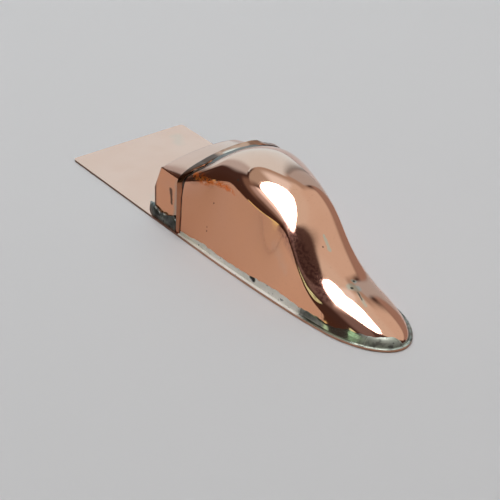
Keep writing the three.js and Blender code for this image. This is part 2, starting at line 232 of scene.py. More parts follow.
def grid(xs, sections):
    """Points [ring, point, (x, y, z)], with heights from the plate's underside."""
    points = np.empty(sections.shape[:2] + (3,))
    points[..., 0] = xs if np.ndim(xs) == 2 else np.asarray(xs)[:, None]
    points[..., 1:] = sections
    points[..., 2] += PLATE_THICKNESS
    return points


def skin(span_at, xs, shares, inset=0.0):
    """Points of a form at any X for each ring and share."""
    low, high = xs.min(), xs.max()
    rings = arches(span_at(np.linspace(low, high, STOPS), inset), shares)
    place = (xs - low) / (high - low) * (STOPS - 1)
    ring = np.clip(place.astype(int), 0, STOPS - 2)
    part = (place - ring)[..., None]
    column = np.arange(len(shares))[None, :]
    return grid(xs, rings[ring, column] * (1 - part) + rings[ring + 1, column] * part)


def normals(points):
    """Outward normals of a grid that runs along the body and then over it."""
    n = np.cross(np.gradient(points, axis=0), np.gradient(points, axis=1))
    return n / (np.linalg.norm(n, axis=-1, keepdims=True) + 1e-12)


def make_mesh(name, vertices, faces):
    mesh = bpy.data.meshes.new(name)
    mesh.from_pydata((np.asarray(vertices) * MM + ORIGIN).tolist(), [], faces)
    mesh.validate()
    mesh.update()
    mesh.polygons.foreach_set("use_smooth", [True] * len(mesh.polygons))
    piece = bpy.data.objects.new(name, mesh)
    bpy.context.scene.collection.objects.link(piece)
    return piece


def grid_faces(keep, start=0, flip=False):
    """Quads of a grid, for the cells that are kept."""
    count = keep.shape[1] + 1
    faces = []
    for i, j in np.argwhere(keep):
        a = start + int(i) * count + int(j)
        quad = (a, a + count, a + count + 1, a + 1)
        faces.append(quad[::-1] if flip else quad)
    return faces


def closed_shell(name, outer, inner, keep=None):
    """A closed shell from an outer and an inner grid, over the cells that are kept."""
    rings, count = outer.shape[:2]
    if keep is None:
        keep = np.ones((rings - 1, count - 1), bool)
    total = rings * count
    faces = grid_faces(keep) + grid_faces(keep, total, flip=True)
    padded = np.pad(keep, 1)
    for i, j in np.argwhere(keep):
        i, j = int(i), int(j)
        a = i * count + j
        b, c, d = a + count, a + count + 1, a + 1
        if not padded[i, j + 1]:
            faces.append((a, d, d + total, a + total))
        if not padded[i + 2, j + 1]:
            faces.append((c, b, b + total, c + total))
        if not padded[i + 1, j]:
            faces.append((b, a, a + total, b + total))
        if not padded[i + 1, j + 2]:
            faces.append((d, c, c + total, d + total))
    vertices = np.concatenate([outer.reshape(-1, 3), inner.reshape(-1, 3)])
    used = np.zeros(len(vertices), bool)
    used[list({index for face in faces for index in face})] = True
    place = np.cumsum(used) - 1
    return make_mesh(name, vertices[used], [tuple(int(place[index]) for index in face) for face in faces])


# The body, hammered in broad dents, and drawn down a little over its crown where the collar sits
DENT_DEPTH = 0.012
DENT_WAVES = 14
DENT_LENGTHS = (9, 24)
DENT_FULL_HEIGHT = 5  # the dents fade in from the foot up to this height
DENT_FADE = 6  # and over this length from the mouth
MOUTH_DIP = 0.9
DIP_SHARES = (0.24, 0.36, 0.58, 0.8)  # of the arch: where the dip starts, is full, starts to end and ends
DIP_X = (50.5, 57.5)  # full up to the first, gone from the second on
BODY_SHARES = np.linspace(0, 1, ARCH_POINTS)


def dents(points):
    """Gentle hammer undulations: a few broad waves of random direction."""
    random = np.random.default_rng(RANDOM_SEED)
    out = np.zeros(points.shape[:2])
    for _ in range(DENT_WAVES):
        direction = random.normal(size=3)
        direction *= 2 * math.pi / (np.linalg.norm(direction) * random.uniform(*DENT_LENGTHS))
        out += np.sin(points @ direction + random.uniform(0, 2 * math.pi))
    return DENT_DEPTH * out / math.sqrt(DENT_WAVES)


def body_places(inset=0.0):
    """Places along X for the body's rings, closing up towards the nose."""
    turn = np.arange(1, CAP_RINGS + 1) / (CAP_RINGS + CAP_STOP) * math.pi / 2
    straight = np.linspace(0, CAP_START, BODY_RINGS + 1)
    return MOUTH_X + np.concatenate([straight, CAP_START + (TOE_CAP_LENGTH - inset) * np.sin(turn)])


def dipped(points, shares):
    """Points of the body with its crown drawn down towards the mouth."""
    begun, full, ending, ended = DIP_SHARES
    over = smooth(shares, begun, full) * (1 - smooth(shares, ending, ended))
    points[..., 2] -= MOUTH_DIP * (1 - smooth(points[..., 0], *DIP_X)) * over[None, :]
    return points


def body_grid(shares, inset=0.0):
    xs = body_places(inset)
    return dipped(grid(xs, arches(body_span(xs, inset), shares)), shares)


def dented(points):
    """The raised surface as hammered: dents fade out at the foot and at the mouth."""
    fade = smooth(points[..., 2], PLATE_THICKNESS, DENT_FULL_HEIGHT)
    fade *= smooth(points[..., 0], MOUTH_X, MOUTH_X + DENT_FADE)
    return points + normals(points) * (dents(points) * fade)[..., None]


def make_body():
    outer = dented(body_grid(BODY_SHARES))
    return closed_shell("body_copper", outer, body_grid(BODY_SHARES, SHEET_THICKNESS))


def make_neck():
    """The neck sleeve, with its rear edge upright at the foot and raked above."""
    shells = []
    for inset in (0.0, SHEET_THICKNESS):
        rear = arches(neck_span(np.array([TAIL_LENGTH]), inset), BODY_SHARES)[0, :, 1]
        rear_x = TAIL_LENGTH + np.maximum(0, rear - NECK_UPRIGHT) * math.tan(math.radians(NECK_RAKE))
        along = np.linspace(0, 1, NECK_RINGS)[:, None]
        xs = rear_x[None, :] + (MOUTH_X + NECK_TUCK - rear_x[None, :]) * along
        shells.append(skin(neck_span, xs, BODY_SHARES, inset))
    return closed_shell("neck_copper", *shells)


# The collar band, at shares of the arch: wide and high over the crown, and narrow down both sides
BAND_SHARES = np.linspace(0, 1, BAND_POINTS)
ALONG_BAND = BAND_SHARES * 80  # rough millimetres along the arch, for its waviness
BAND_WIDTH = np.interp(
    BAND_SHARES, (0, 0.16, 0.26, 0.34, 0.5, 0.62, 1), (1.2, 1.2, 1.5, 3.0, 3.0, 2.3, 1.3)
)
BAND_BACK = np.interp(
    BAND_SHARES,
    (0, 0.2, 0.27, 0.3, 0.34, 0.45, 0.55, 0.61, 0.64, 0.67, 0.7, 1),
    (0.45, 0.45, 0.7, 1.0, 1.4, 1.7, 1.95, 2.0, 1.7, 0.8, 0.4, 0.3),
)
# The share of the crown's height that is lost across the band towards the body
BAND_LEAN = np.interp(BAND_SHARES, (0, 0.27, 0.36, 0.6, 0.7, 1), (0.4, 0.5, 0.85, 0.85, 0.5, 0.4))
BAND_ROUND = 0.22  # share of the width that each edge takes to round over
BAND_EDGE = 0.3  # height of its rear edge and its front edge
BAND_WAVER = 0.06
BAND_SINK = 0.25  # how far a band's or a run's hidden side lies in the sheet below it


def band(name, span_at, rear_x, width, height):
    """A strip wrapped over the form: its height is given for a share of its width and of the arch."""
    across = np.linspace(0, 1, BAND_ROWS)[:, None]
    base = skin(span_at, rear_x + width * across, BAND_SHARES)
    if span_at is body_span:
        base = dipped(base, BAND_SHARES)
    outward = normals(base)
    outer = base + outward * height(across)[..., None]
    inner = base - outward * BAND_SINK
    for points in (outer, inner):
        points[:, (0, -1), 2] = PLATE_THICKNESS
    return closed_shell(name, outer, inner)


def make_collar():
    def height(across):
        rise = np.sqrt(1 - (1 - np.clip(across / BAND_ROUND, 0, 1)) ** 2)
        fall = np.sqrt(1 - (1 - np.clip((1 - across) / BAND_ROUND, 0, 1)) ** 2)
        return BAND_EDGE + (BAND_BACK - BAND_EDGE) * rise * fall * (1 - BAND_LEAN * across)

    width = BAND_WIDTH + BAND_WAVER * wander(ALONG_BAND, seed=11, wave=9)
    return band("collar_copper", body_span, COLLAR_REAR_X, width, height)


# The collar's solder runs, each with its own length along the arch
FRONT_RUN = np.interp(
    BAND_SHARES,
    (0, 0.2, 0.27, 0.33, 0.37, 0.42, 0.5, 0.58, 0.64, 0.69, 1),
    (0.25, 0.3, 0.8, 0.8, 1.2, 3.2, 4.0, 3.8, 2.6, 0.7, 0.6),
)
REAR_RUN = np.interp(BAND_SHARES, (0, 0.08, 0.25, 0.3, 0.34, 1), (1.6, 1.1, 1.4, 1.0, 0.35, 0.3))
RUN_TUCK = 0.05  # how far a run's thin edge lies in under the copper's surface
FRONT_WAVER = 0.15  # waviness of the front run's edge, as a part of its length
FRONT_WAVER_MOST = 0.3
FRONT_FALL = 1.6  # how steeply the front run falls away from the band: 1 is an even slope
FRONT_CLIMB = 0.55  # part of the band's height above a low one that the front run climbs
LOW_BACK = 0.6
LAP_LEAST = 0.15  # how far the front run reaches over the band
LAP_SHARE = 0.4  # and the part of the width that it reaches over a high one
LAP_BACKS = (0.9, 1.7)  # heights of the band between which it goes from one to the other
REAR_WAVER = 0.22  # and the rear run's: its edge, its slope and its reach over the band
REAR_FALL = 2.2
REAR_LAP = 0.1


def make_front_solder():
    proud = BAND_EDGE + FRONT_CLIMB * np.maximum(0, BAND_BACK - LOW_BACK)

    def height(across):
        return proud * (1 - across) ** FRONT_FALL - RUN_TUCK * across

    waver = np.minimum(FRONT_WAVER_MOST, FRONT_WAVER * FRONT_RUN)
    length = FRONT_RUN + waver * wander(ALONG_BAND, seed=21, wave=6)
    lap = LAP_LEAST + LAP_SHARE * BAND_WIDTH * smooth(BAND_BACK, *LAP_BACKS)
    return band("collar_front_run", body_span, COLLAR_REAR_X + BAND_WIDTH - lap, length + lap, height)


def make_rear_solder():
    def height(across):
        return (SHEET_THICKNESS + SLIP_GAP) * across**REAR_FALL - RUN_TUCK * (1 - across)

    length = REAR_RUN * (1 + REAR_WAVER * wander(ALONG_BAND, seed=31, wave=3))
    return band("collar_rear_run", neck_span, COLLAR_REAR_X + REAR_LAP - length, length, height)


# The foot solder's upper edge on the straight side: X, and height above the plate
FOOT_CLIMB = (
    (50, 0.8), (54, 0.9), (59, 1.5), (65, 1.3), (73, 1.4), (77, 1.5), (82, 1.9), (88.5, 2.3), (92.6, 2.0),
    (96, 1.7), (98.9, 1.9), (102.4, 1.7), (105.4, 1.3), (108.4, 1.8), (109.6, 2.3), (112.8, 2.1),
    (115.1, 2.0), (118, 1.9), (120, 1.8),
)
FAR_CLIMB = 1.3  # the edge's height on the round side
FAR_CLIMB_LOSS = 0.7  # and how much lower it is at the toe, between two places along X
FAR_CLIMB_X = (92, 108)
FAR_SHARES = (0.35, 0.65)  # of the arch, where the edge goes from the near climb to the far one
NEAR_WAVER = 0.09  # waviness of the edge on the straight side, and on the round side
FAR_WAVER = 0.2
RUN_SKIN = 0.035  # thickness of the film on the wall
RUN_THINS = (0.6, 1.0)  # shares of the climb between which the film thins out
RUN_SINK = 0.02  # how far the film's upper edge runs in under the copper's surface
RUN_SINKS = (0.7, 1.15)  # shares of the climb between which it does so
RUN_ENDS = 1.25  # share of the climb up to which the film is made
RUN_START_X = COLLAR_REAR_X + 1.2  # the band's front edge at its foot
# The strip on the flange, from its outer edge: reach from the body's foot, and height above the plate
FLANGE_ROWS = ((0.79, 0.0), (0.78, 0.05), (0.6, 0.08), (0.3, 0.08), (0.05, 0.08))
# Shares of the arch, close together at the feet, where the film starts in a crease
CREASE = (0.0012, 0.0016, 0.0025, 0.004)
LOW_SHARES = np.concatenate([CREASE, np.linspace(0.006, 0.09, 46)])
HIGH_SHARES = np.linspace(0.09, 0.91, 130)[1:-1]
FOOT_SHARES = np.concatenate([LOW_SHARES, HIGH_SHARES, 1 - LOW_SHARES[::-1]])


def make_foot_solder():
    """A thin film up the wall from the foot, joined to a flat strip on the flange."""
    base = body_grid(FOOT_SHARES)
    x, height = base[..., 0], base[..., 2] - PLATE_THICKNESS
    far_side = smooth(FOOT_SHARES, *FAR_SHARES)[None, :]
    near_climb = np.interp(x, *np.transpose(FOOT_CLIMB)) + NEAR_WAVER * wander(x, seed=41, wave=2.5)
    far_climb = FAR_CLIMB - FAR_CLIMB_LOSS * smooth(x, *FAR_CLIMB_X) + FAR_WAVER * wander(x, seed=43, wave=6)
    level = height / (near_climb + (far_climb - near_climb) * far_side)
    out = normals(base)
    flat = out * (1, 1, 0)
    flat /= np.linalg.norm(flat, axis=-1, keepdims=True) + 1e-9
    film = RUN_SKIN * (1 - smooth(level, *RUN_THINS)) - RUN_SINK * smooth(level, *RUN_SINKS)
    wall = base + out * film[..., None]
    hidden = base - out * BAND_SINK
    rows = {}
    for side, column in (("near", 0), ("far", -1)):
        foot, away = base[:, column], flat[:, column]
        rows[side] = [foot + away * reach + (0, 0, lift) for reach, lift in FLANGE_ROWS]
    ends = len(FLANGE_ROWS)
    outer = np.stack([*rows["near"], *np.moveaxis(wall, 1, 0), *rows["far"][::-1]], 1)
    inner = np.stack([*rows["near"], *np.moveaxis(hidden, 1, 0), *rows["far"][::-1]], 1)
    inner[..., 2] = np.maximum(inner[..., 2], PLATE_THICKNESS)
    inner[:, :ends, 2] = inner[:, -ends:, 2] = PLATE_THICKNESS
    level = np.pad(level, ((0, 0), (ends, ends)))
    covered = (level < RUN_ENDS) & (outer[..., 0] > RUN_START_X)
    keep = covered[:-1, :-1] & covered[1:, :-1] & covered[:-1, 1:] & covered[1:, 1:]
    return closed_shell("body_foot_run", outer, inner, keep)


# The dark blobs round the neck's feet: X, Y, half width and height along each
NEAR_BLOB = (
    (32.6, 3.9, 0.3, 0.2),
    (34.2, 3.2, 0.7, 0.9),
    (36.0, 2.3, 1.0, 1.9),
    (38.0, 1.6, 1.05, 2.2),
    (40.0, 1.45, 1.0, 1.6),
    (42.5, 1.4, 0.9, 1.7),
    (45.0, 1.35, 0.85, 2.3),
    (46.8, 1.35, 0.85, 3.0),
    (48.4, 1.3, 0.8, 2.2),
)
FAR_BLOB = (
    (34.6, 28.0, 0.3, 0.2),
    (36.6, 28.9, 1.0, 1.4),
    (39.0, 29.9, 1.1, 1.9),
    (42.0, 31.1, 0.9, 1.3),
    (45.5, 32.4, 0.9, 1.5),
    (48.4, 33.2, 0.8, 1.4),
)
BLOB_MARGIN = 0.15  # a blob stays this far in from the plate's straight edge
BLOB_FULLNESS = 0.9  # below 1 its section is fuller than half an ellipse
# Waviness and length of its waves: in its width and its height, as parts of them, and in its lumps
WIDTH_WAVES = (0.08, 3)
HEIGHT_WAVES = (0.1, 2.5)
LUMP_WAVES = (0.05, 1.5)


def make_blob(name, stations, seed):
    """A lumpy mound that follows a line on the plate."""
    rows = np.array(stations, float)
    places = np.linspace(0, len(rows) - 1, BLOB_RINGS)
    x, y, wide, high = (np.interp(places, np.arange(len(rows)), column) for column in rows.T)
    for line in (x, y, wide, high):
        line[1:-1] = (line[:-2] + 2 * line[1:-1] + line[2:]) / 4
    wide = wide * (1 + WIDTH_WAVES[0] * wander(x, seed, WIDTH_WAVES[1]))
    high = high * (1 + HEIGHT_WAVES[0] * wander(x, seed + 1, HEIGHT_WAVES[1]))
    run_x, run_y = np.gradient(x), np.gradient(y)
    size = np.hypot(run_x, run_y)
    turn = np.linspace(0, math.pi, BLOB_POINTS)[None, :]
    side = np.cos(turn) * wide[:, None]
    outer = np.stack([
        x[:, None] + side * (run_y / size)[:, None],
        np.maximum(BLOB_MARGIN, y[:, None] - side * (run_x / size)[:, None]),
        PLATE_THICKNESS + high[:, None] * np.sin(turn) ** BLOB_FULLNESS,
    ], -1)
    lumps = outer[:, 1:-1, 0] * 1.3 + outer[:, 1:-1, 1] * 2
    outer[:, 1:-1, 2] += LUMP_WAVES[0] * wander(lumps, seed + 2, LUMP_WAVES[1])
    inner = outer.copy()
    inner[..., 2] = PLATE_THICKNESS
    return closed_shell(name, outer, inner)


# Materials
def node_material(name, kind="ShaderNodeBsdfPrincipled"):
    """A new material: the material, its node tree and its one shader."""
    material = bpy.data.materials.new(name)
    material.use_nodes = True
    tree = material.node_tree
    tree.nodes.clear()
    out = tree.nodes.new("ShaderNodeOutputMaterial")
    shader = tree.nodes.new(kind)
    tree.links.new(shader.outputs[0], out.inputs["Surface"])
    return material, tree, shader


def place_of(tree):
    """Object coordinates in metres, which are the frame's own."""
    return tree.nodes.new("ShaderNodeTexCoord").outputs["Object"]


def metal(name):
    """A new metal: the material, its node tree, its shader and the place on the object."""
    material, tree, shader = node_material(name)
    shader.inputs["Metallic"].default_value = 1
    return material, tree, shader, place_of(tree)


def feed(tree, socket, value):
    """Links a socket to another one, or sets it to a plain value."""
    if isinstance(value, bpy.types.NodeSocket):
        tree.links.new(value, socket)
    else:
        socket.default_value = value


def noise(tree, place, scale, detail=3.0):
    node = tree.nodes.new("ShaderNodeTexNoise")
    node.inputs["Scale"].default_value = scale
    node.inputs["Detail"].default_value = detail
    tree.links.new(place, node.inputs["Vector"])
    return node


def remap(tree, value, low, high, to_low=0.0, to_high=1.0, shape="LINEAR"):
    """From to_low at low to to_high at high, and no further either way."""
    node = tree.nodes.new("ShaderNodeMapRange")
    node.interpolation_type = shape
    node.inputs["From Min"].default_value = low
    node.inputs["From Max"].default_value = high
    node.inputs["To Min"].default_value = to_low
    node.inputs["To Max"].default_value = to_high
    tree.links.new(value, node.inputs["Value"])
    return node.outputs["Result"]


def maths(tree, operation, a, b=0.0, clamp=False):
    node = tree.nodes.new("ShaderNodeMath")
    node.operation = operation
    node.use_clamp = clamp
    feed(tree, node.inputs[0], a)
    feed(tree, node.inputs[1], b)
    return node.outputs[0]


def vectors(tree, operation, a, b=(0, 0, 0)):
    node = tree.nodes.new("ShaderNodeVectorMath")
    node.operation = operation
    feed(tree, node.inputs[0], a)
    if operation == "SCALE":
        feed(tree, node.inputs["Scale"], b)
    elif operation != "LENGTH":
        feed(tree, node.inputs[1], b)
    return node.outputs["Value" if operation in ("LENGTH", "DOT_PRODUCT") else "Vector"]


def axis(tree, vector, name):
    node = tree.nodes.new("ShaderNodeSeparateXYZ")
    tree.links.new(vector, node.inputs[0])
    return node.outputs[name]


def mix_colour(tree, factor, a, b):
    """Colour a, changing to colour b as the factor goes from 0 to 1."""
    node = tree.nodes.new("ShaderNodeMix")
    node.data_type = "RGBA"
    feed(tree, node.inputs["Factor"], factor)
    for socket, colour in ((node.inputs[6], a), (node.inputs[7], b)):
        feed(tree, socket, (*colour, 1) if isinstance(colour, tuple) else colour)
    return node.outputs[2]


def painted(tree, colour, paint, mask, share):
    """A colour with paint over it where the mask is, at a share of the mask's strength."""
    return mix_colour(tree, maths(tree, "MULTIPLY", mask, share), colour, paint)


def bump(tree, place, shader, scale, strength, distance):
    """Fine unevenness of the surface: the scale of its noise, its strength and its height in metres."""
    node = tree.nodes.new("ShaderNodeBump")
    node.inputs["Strength"].default_value = strength
    node.inputs["Distance"].default_value = distance
    tree.links.new(noise(tree, place, scale).outputs["Fac"], node.inputs["Height"])
    tree.links.new(node.outputs["Normal"], shader.inputs["Normal"])


def clouds(tree, place, scale, detail, low, high, least=0.0, most=1.0):
    """A mask of noise: least where the noise is below low, and most where it is above high."""
    return remap(tree, noise(tree, place, scale, detail).outputs["Fac"], low, high, least, most)


def ramp(tree, place, name, start, end):
    """A mask that goes from 0 to 1 between two places along an axis."""
    low, high = (at * MM + ORIGIN["XYZ".index(name)] for at in (start, end))
    return remap(tree, axis(tree, place, name), low, high)


def facing(tree, name):
    """How far the surface faces along an axis, from -1 to 1."""
    return axis(tree, tree.nodes.new("ShaderNodeNewGeometry").outputs["Normal"], name)


def shaken(tree, place, reach, scale):
    """Coordinates shaken by noise, so that a mark's outline is irregular."""
    colour = noise(tree, place, scale).outputs["Color"]
    centred = vectors(tree, "SUBTRACT", colour, (0.5, 0.5, 0.5))
    return vectors(tree, "ADD", place, vectors(tree, "SCALE", centred, reach * MM))


def frame_point(point):
    return Vector((np.asarray(point, float) * MM + ORIGIN).tolist())


def mark(tree, place, radius, start, end=None, soft=0.5):
    """A mask that is 1 on a spot, or along a streak, and fades out over the soft part of its radius."""
    a = frame_point(start)
    offset = vectors(tree, "SUBTRACT", place, a)
    if end is not None:
        run = frame_point(end) - a
        along = vectors(tree, "DOT_PRODUCT", offset, run / run.length_squared)
        along = maths(tree, "MULTIPLY", along, 1.0, clamp=True)
        offset = vectors(tree, "SUBTRACT", offset, vectors(tree, "SCALE", run, along))
    distance = vectors(tree, "LENGTH", offset)
    return remap(tree, distance, radius * MM, radius * MM * (1 - soft))


def marks(tree, place, rows):
    """The greatest of several marks: a radius and a start, or an end and a softness too, in each row."""
    total = None
    for row in rows:
        one = mark(tree, place, *row)
        total = one if total is None else maths(tree, "MAXIMUM", total, one)
    return total


# Colours of copper
DOME = (0.86, 0.50, 0.38)
DOME_CLOUD = (0.76, 0.39, 0.26)
# Painted shade: the straight wall's copper, deeper and darker than the crown, and darkest at the rear
SHADED_WALL_REAR = (0.70, 0.32, 0.18)
SHADED_WALL_FRONT = (0.95, 0.47, 0.275)
SPECK = (0.42, 0.2, 0.13)
# Painted reflection: a dark plum band in the hollow between the crown and the toe cap
PAINTED_PLUM_REFLECTION = (0.3, 0.115, 0.1)
# Painted dark reflection on the body just in front of the collar
PAINTED_DARK_REFLECTION = (0.2, 0.07, 0.035)
SMUDGE = (0.7, 0.62, 0.54)
# Painted reflection: bright orange along the top of the straight wall
PAINTED_ORANGE_REFLECTION = (0.85, 0.22, 0.06)
# Painted shade: the neck's sides deeper and darker than its top
SHADED_NECK_SIDE = (0.78, 0.35, 0.19)
NECK_TOP = (0.8, 0.46, 0.36)
NECK_CLOUD = (0.68, 0.37, 0.26)
NECK_TIN = (0.36, 0.36, 0.31)
NECK_BURNT = (0.07, 0.03, 0.02)
COLLAR = (0.64, 0.32, 0.21)
COLLAR_CLOUD = (0.42, 0.18, 0.105)
# Painted dark reflection on the near part of the collar's crown, and darkening at its far end
COLLAR_PAINTED_DARK_REFLECTION = (0.085, 0.03, 0.014)
# Painted highlight on the collar's crown
COLLAR_PAINTED_HIGHLIGHT = (0.97, 0.8, 0.68)
COLLAR_STRAIGHT = (0.42, 0.17, 0.09)
PLATE = (0.88, 0.52, 0.41)
PLATE_CLOUD = (0.85, 0.48, 0.365)
PLATE_STAIN = (0.6, 0.52, 0.42)
TAIL_EDGE = (0.2, 0.09, 0.055)
# Painted bounce light: the plate's edge lighter along the body than along the tail
PLATE_EDGE_PAINTED_BOUNCE = (0.55, 0.3, 0.2)

# Colours of solder
TIN = (0.60, 0.62, 0.56)
PIT = (0.02, 0.02, 0.02)
RUN_TINNED = (0.98, 0.95, 0.9)
RUN_REAR = (0.82, 0.79, 0.7)
RUN_TOE = (0.5, 0.54, 0.47)
RUN_FAR = (0.13, 0.09, 0.07)
RUN_SMOKED = (0.12, 0.13, 0.115)
# Painted dark reflection on the foot film before the toe cap
RUN_PAINTED_DARK_REFLECTION = (0.07, 0.07, 0.06)
RUN_CLOUD = (0.6, 0.58, 0.5)


def body_material():
    material, tree, shader, place = metal("body_copper")
    rough_place = shaken(tree, place, 0.8, 900)
    # Painted shade: the straight wall, found by its facing, gets deeper copper than the crown, darkening
    # towards the rear
    wall = mix_colour(tree, ramp(tree, place, "X", 52, 92), SHADED_WALL_REAR, SHADED_WALL_FRONT)
    colour = mix_colour(tree, remap(tree, facing(tree, "Y"), -0.75, -0.93), DOME, wall)
    colour = mix_colour(tree, clouds(tree, place, 110, 4, 0.45, 0.75, most=0.25), colour, DOME_CLOUD)
    colour = mix_colour(tree, clouds(tree, place, 2600, 2, 0.68, 0.74, most=0.35), colour, SPECK)
    # Painted reflection: a speckled dark plum band down the hollow between the crown and the toe cap, a
    # little rougher too
    painted_plum_reflection = marks(tree, rough_place, [
        (2.7, (84.2, 7.7, 15.6), (96.2, 6.5, 8.7), 0.6),
        (2.0, (96.2, 6.5, 8.7), (100.8, 5.7, 6.1), 0.6),
    ])
    colour = painted(tree, colour, PAINTED_PLUM_REFLECTION, painted_plum_reflection, clouds(tree, place, 1500, 3, 0.42, 0.62, 0.35, 0.85))
    tin = marks(tree, rough_place, [
        (0.55, (89.7, 14.3, 13.8), (92.8, 13.7, 11.7)),
        (1.3, (102.4, 12.0, 7.4), (103.6, 13.0, 7.3)),
        (0.9, (101.4, 13.8, 7.7)),
        (0.6, (104.5, 12.4, 6.9), (108.5, 11.4, 5.7), 0.95),
        (0.5, (66.0, 7.2, 20.4)),
        (1.0, (51.8, 4.0, 16.0), (53.2, 4.6, 17.0)),
    ])
    colour = painted(tree, colour, TIN, tin, 0.8)
    # Painted dark reflection on the shoulder just in front of the collar
    darkened = mark(tree, shaken(tree, place, 1.0, 700), 3.2, (52.3, 4.6, 17.2), (52.9, 11.5, 18.6), 0.8)
    colour = painted(tree, colour, PAINTED_DARK_REFLECTION, darkened, 0.85)
    smudge = mark(tree, shaken(tree, place, 2.5, 500), 1.6, (83.0, 5.2, 11.2), (88.5, 4.0, 7.9), 0.95)
    colour = painted(tree, colour, SMUDGE, smudge, 0.12)
    # Painted reflection: bright orange streaks in clouds along the top of the straight wall behind the
    # collar, rougher there
    painted_orange_reflection = marks(tree, shaken(tree, place, 1.2, 900), [
        (1.6, (52.4, 4.3, 16.8), (56.0, 5.3, 16.5), 0.6),
        (0.9, (56.0, 5.3, 16.5), (61.5, 6.2, 17.2), 0.6),
        (0.8, (62.5, 6.2, 17.3), (68.0, 6.4, 17.2), 0.6),
    ])
    painted_orange_reflection = maths(tree, "MULTIPLY", painted_orange_reflection, clouds(tree, place, 1100, 3, 0.34, 0.5))
    colour = mix_colour(tree, painted_orange_reflection, colour, PAINTED_ORANGE_REFLECTION)
    pits = marks(tree, shaken(tree, place, 0.3, 1800), [
        (0.25, (91.7, 12.5, 12.5)),
        (0.45, (102.9, 12.0, 7.3)),
        (0.4, (101.4, 13.8, 7.7)),
        (0.15, (104.5, 12.4, 6.9), (106.8, 11.7, 6.2)),
        (0.3, (59.6, 4.6, 12.1)),
        (0.22, (59.4, 2.6, 6.1)),
        (0.25, (59.7, 2.3, 5.2)),
        (0.45, (50.9, 4.0, 16.6)),
        (0.4, (52.5, 4.1, 16.6)),
        (0.45, (116.3, 17.3, 1.6)),
    ])
    tree.links.new(painted(tree, colour, PIT, pits, 0.9), shader.inputs["Base Color"])
    dull = maths(tree, "MULTIPLY", maths(tree, "MAXIMUM", painted_plum_reflection, tin), 0.05)
    dull = maths(tree, "ADD", dull, maths(tree, "MULTIPLY", painted_orange_reflection, 0.25))
    rough = maths(tree, "ADD", clouds(tree, place, 300, 5, 0.3, 0.7, 0.03, 0.06), dull)
    tree.links.new(rough, shader.inputs["Roughness"])
    bump(tree, place, shader, 1600, 0.03, 0.00005)
    return material


def neck_material():
    material, tree, shader, place = metal("neck_copper")
    # Painted shade: the neck's sides, found by their facing, get deeper, darker copper than its top
    colour = mix_colour(tree, remap(tree, facing(tree, "Z"), 0.4, 0.9), SHADED_NECK_SIDE, NECK_TOP)
    colour = mix_colour(tree, clouds(tree, place, 130, 4, 0.45, 0.75, most=0.35), colour, NECK_CLOUD)
    tin = marks(tree, shaken(tree, place, 1.6, 700), [
        (1.3, (47.4, 1.6, 13.5), (46.8, 1.6, 3.0), 0.9),
        (1.4, (47.6, 3.4, 17.0), (48.4, 6.0, 17.6), 0.9),
    ])
    colour = painted(tree, colour, NECK_TIN, tin, 0.8)
    darkened = marks(tree, shaken(tree, place, 0.5, 900), [
        (0.8, (44.7, 2.1, 10.0), (44.9, 2.1, 9.0)),
        (0.6, (45.0, 2.0, 8.4), (45.1, 1.9, 6.5)),
        (1.1, (37.7, 1.6, 9.5), (37.7, 1.6, 2.5), 0.7),
    ])
    tree.links.new(painted(tree, colour, NECK_BURNT, darkened, 0.9), shader.inputs["Base Color"])
    tree.links.new(clouds(tree, place, 260, 5, 0.3, 0.7, 0.11, 0.17), shader.inputs["Roughness"])
    bump(tree, place, shader, 1500, 0.04, 0.00005)
    return material


def collar_material():
    material, tree, shader, place = metal("collar_copper")
    colour = mix_colour(tree, clouds(tree, place, 400, 4, 0.4, 0.7), COLLAR, COLLAR_CLOUD)
    # Painted dark reflection over the near part of the collar's crown; the far end is darkened too
    darkened = marks(tree, shaken(tree, place, 0.8, 800), [
        (3.4, (50.3, 10.2, 18.6), (49.4, 2.4, 14.5), 0.5),
        (1.3, (49.4, 31.5, 12.5), (49.4, 33.5, 4), 0.7),
        (1.4, (49.8, 28.0, 17.6), (51.0, 30.5, 16.5), 0.7),
    ])
    colour = painted(tree, colour, COLLAR_PAINTED_DARK_REFLECTION, darkened, 0.95)
    # Painted highlight: a pale streak over the collar's crown, which is also rougher there
    painted_highlight = mark(tree, place, 1.4, (50.9, 14.5, 20.0), (51.4, 18.5, 20.0), 0.6)
    colour = mix_colour(tree, painted_highlight, colour, COLLAR_PAINTED_HIGHLIGHT)
    straight = mark(tree, place, 2.2, (49.4, 2.0, 13.0), (49.4, 0.9, 0.6), 0.4)
    tree.links.new(painted(tree, colour, COLLAR_STRAIGHT, straight, 0.9), shader.inputs["Base Color"])
    tree.links.new(remap(tree, painted_highlight, 0, 1, 0.1, 0.34), shader.inputs["Roughness"])
    bump(tree, place, shader, 900, 0.08, 0.0001)
    return material


def plate_material():
    material, tree, shader, place = metal("plate_copper")
    colour = mix_colour(tree, clouds(tree, place, 60, 4, 0.4, 0.75), PLATE, PLATE_CLOUD)
    stain = marks(tree, shaken(tree, place, 3.0, 500), [
        (2.2, (5.4, 30.0, 0.6), (9.3, 28.2, 0.6), 0.9),
        (2.6, (31, 6.5, 0.6), (45, 0.6, 0.6), 0.9),
    ])
    colour = painted(tree, colour, PLATE_STAIN, stain, 0.25)
    # The plate's cut edges: dark oxide along the tail, and lighter along the body as painted bounce light
    edge = mix_colour(tree, ramp(tree, place, "X", 46, 58), TAIL_EDGE, PLATE_EDGE_PAINTED_BOUNCE)
    colour = mix_colour(tree, remap(tree, facing(tree, "Z"), 0.8, 0.4), colour, edge)
    tree.links.new(colour, shader.inputs["Base Color"])
    tree.links.new(clouds(tree, place, 200, 5, 0.3, 0.7, 0.14, 0.24), shader.inputs["Roughness"])
    bump(tree, place, shader, 1200, 0.05, 0.00005)
    return material


